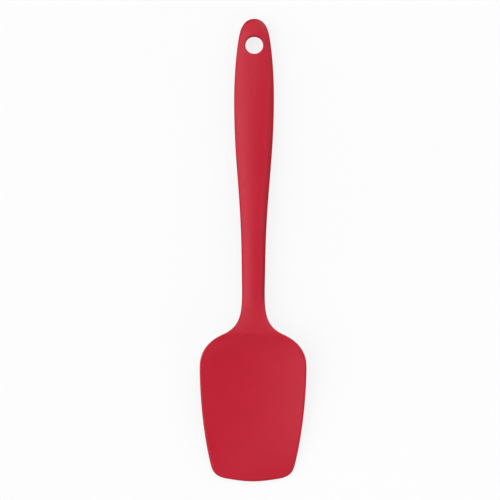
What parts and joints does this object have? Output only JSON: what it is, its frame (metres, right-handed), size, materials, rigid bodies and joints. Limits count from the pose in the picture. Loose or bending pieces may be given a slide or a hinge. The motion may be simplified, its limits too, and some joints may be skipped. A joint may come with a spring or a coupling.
{
  "type": "silicone spatula",
  "caption": "Silicone spoon spatula with a scooped blade, a slim neck and a rounded handle with a hanging hole.",
  "frame": {"origin": "centre of the bounding box, at the level that the tool rests on", "axes": "+Y along the handle towards the hanging hole, +Z out of the scooped face, +X to the right seen from the front"},
  "size_m": [0.0644, 0.28, 0.0145],
  "materials": {
    "silicone": "satin moulded silicone",
    "spine_steel": "rolled stainless strip",
    "core_nylon": "glass-filled nylon, as moulded"
  },
  "bodies": {
    "root": {"silicone_skin": "silicone", "steel_spine": "spine_steel", "grip_core": "core_nylon", "blade_core": "core_nylon"}
  },
  "joints": []
}
